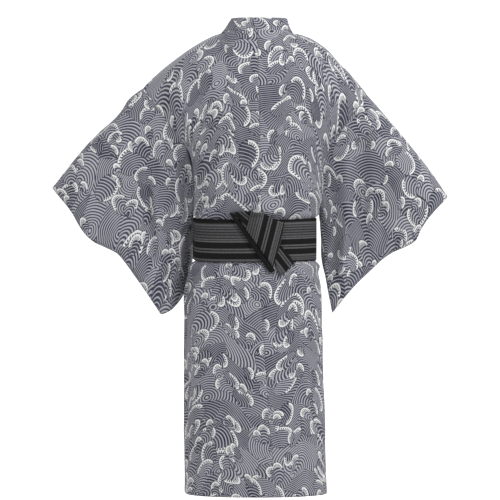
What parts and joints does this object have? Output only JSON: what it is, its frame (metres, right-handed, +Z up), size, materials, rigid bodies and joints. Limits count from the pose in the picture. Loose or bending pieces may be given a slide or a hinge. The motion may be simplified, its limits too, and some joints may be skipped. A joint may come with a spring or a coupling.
{
  "type": "cotton yukata robe with a tied sash",
  "caption": "Hollow worn cotton robe with wide hanging sleeves, a wrapped front, a standing collar behind the neck and a striped sash tied flat at the back",
  "frame": {"origin": "the middle of the base of the neck, level with where the shoulders carry the robe", "axes": "+Z is up along the robe, +X points to the wearer's right, and +Y is the way the wearer faces, so the back with the knot faces -Y"},
  "size_m": [1.126, 0.2609, 1.3551],
  "materials": {
    "cotton": "plain woven cotton with a white and navy wave print",
    "sash": "ribbed cotton weave, black with grey stripes along its length"
  },
  "bodies": {
    "root": {"back_left": "cotton", "back_right": "cotton", "front_left": "cotton", "front_right": "cotton", "overlap_left": "cotton", "overlap_right": "cotton", "sleeve_left": "cotton", "sleeve_right": "cotton", "collar": "cotton", "sash_inner": "sash", "sash_outer": "sash", "knot_wing": "sash", "knot_top": "sash", "knot_roll": "sash", "knot_tail": "sash"}
  },
  "joints": []
}
